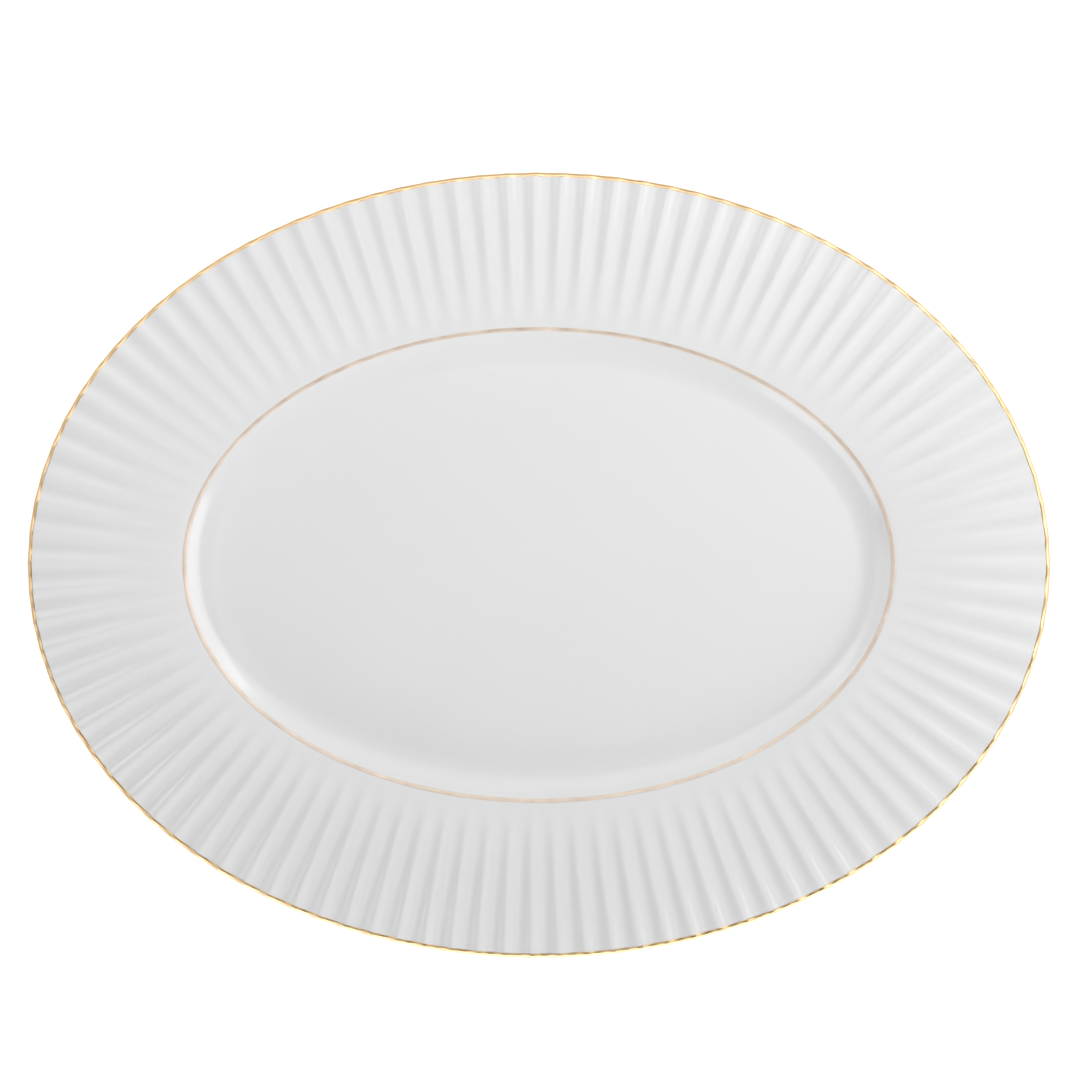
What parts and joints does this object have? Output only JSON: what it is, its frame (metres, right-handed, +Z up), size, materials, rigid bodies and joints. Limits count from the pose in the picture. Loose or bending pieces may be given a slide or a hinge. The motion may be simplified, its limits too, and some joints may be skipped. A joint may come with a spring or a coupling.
{
  "type": "serving platter",
  "caption": "Oval white china serving platter with a pleated rim, a gilded lip and a fine gilded line round the well.",
  "frame": {"origin": "centre of the plane that the foot ring stands on", "axes": "+X along the platter's length, +Y along its width, +Z up out of the well"},
  "size_m": [0.36, 0.2764, 0.019],
  "materials": {
    "glazed_china": "clear gloss glaze over white china",
    "bare_china": "unglazed, ground flat and polished",
    "gilding": "burnished fired gold"
  },
  "bodies": {
    "root": {"china_body": "glazed_china", "foot_ring": "bare_china", "lip_gilding": "gilding", "verge_gilding": "gilding"}
  },
  "joints": []
}
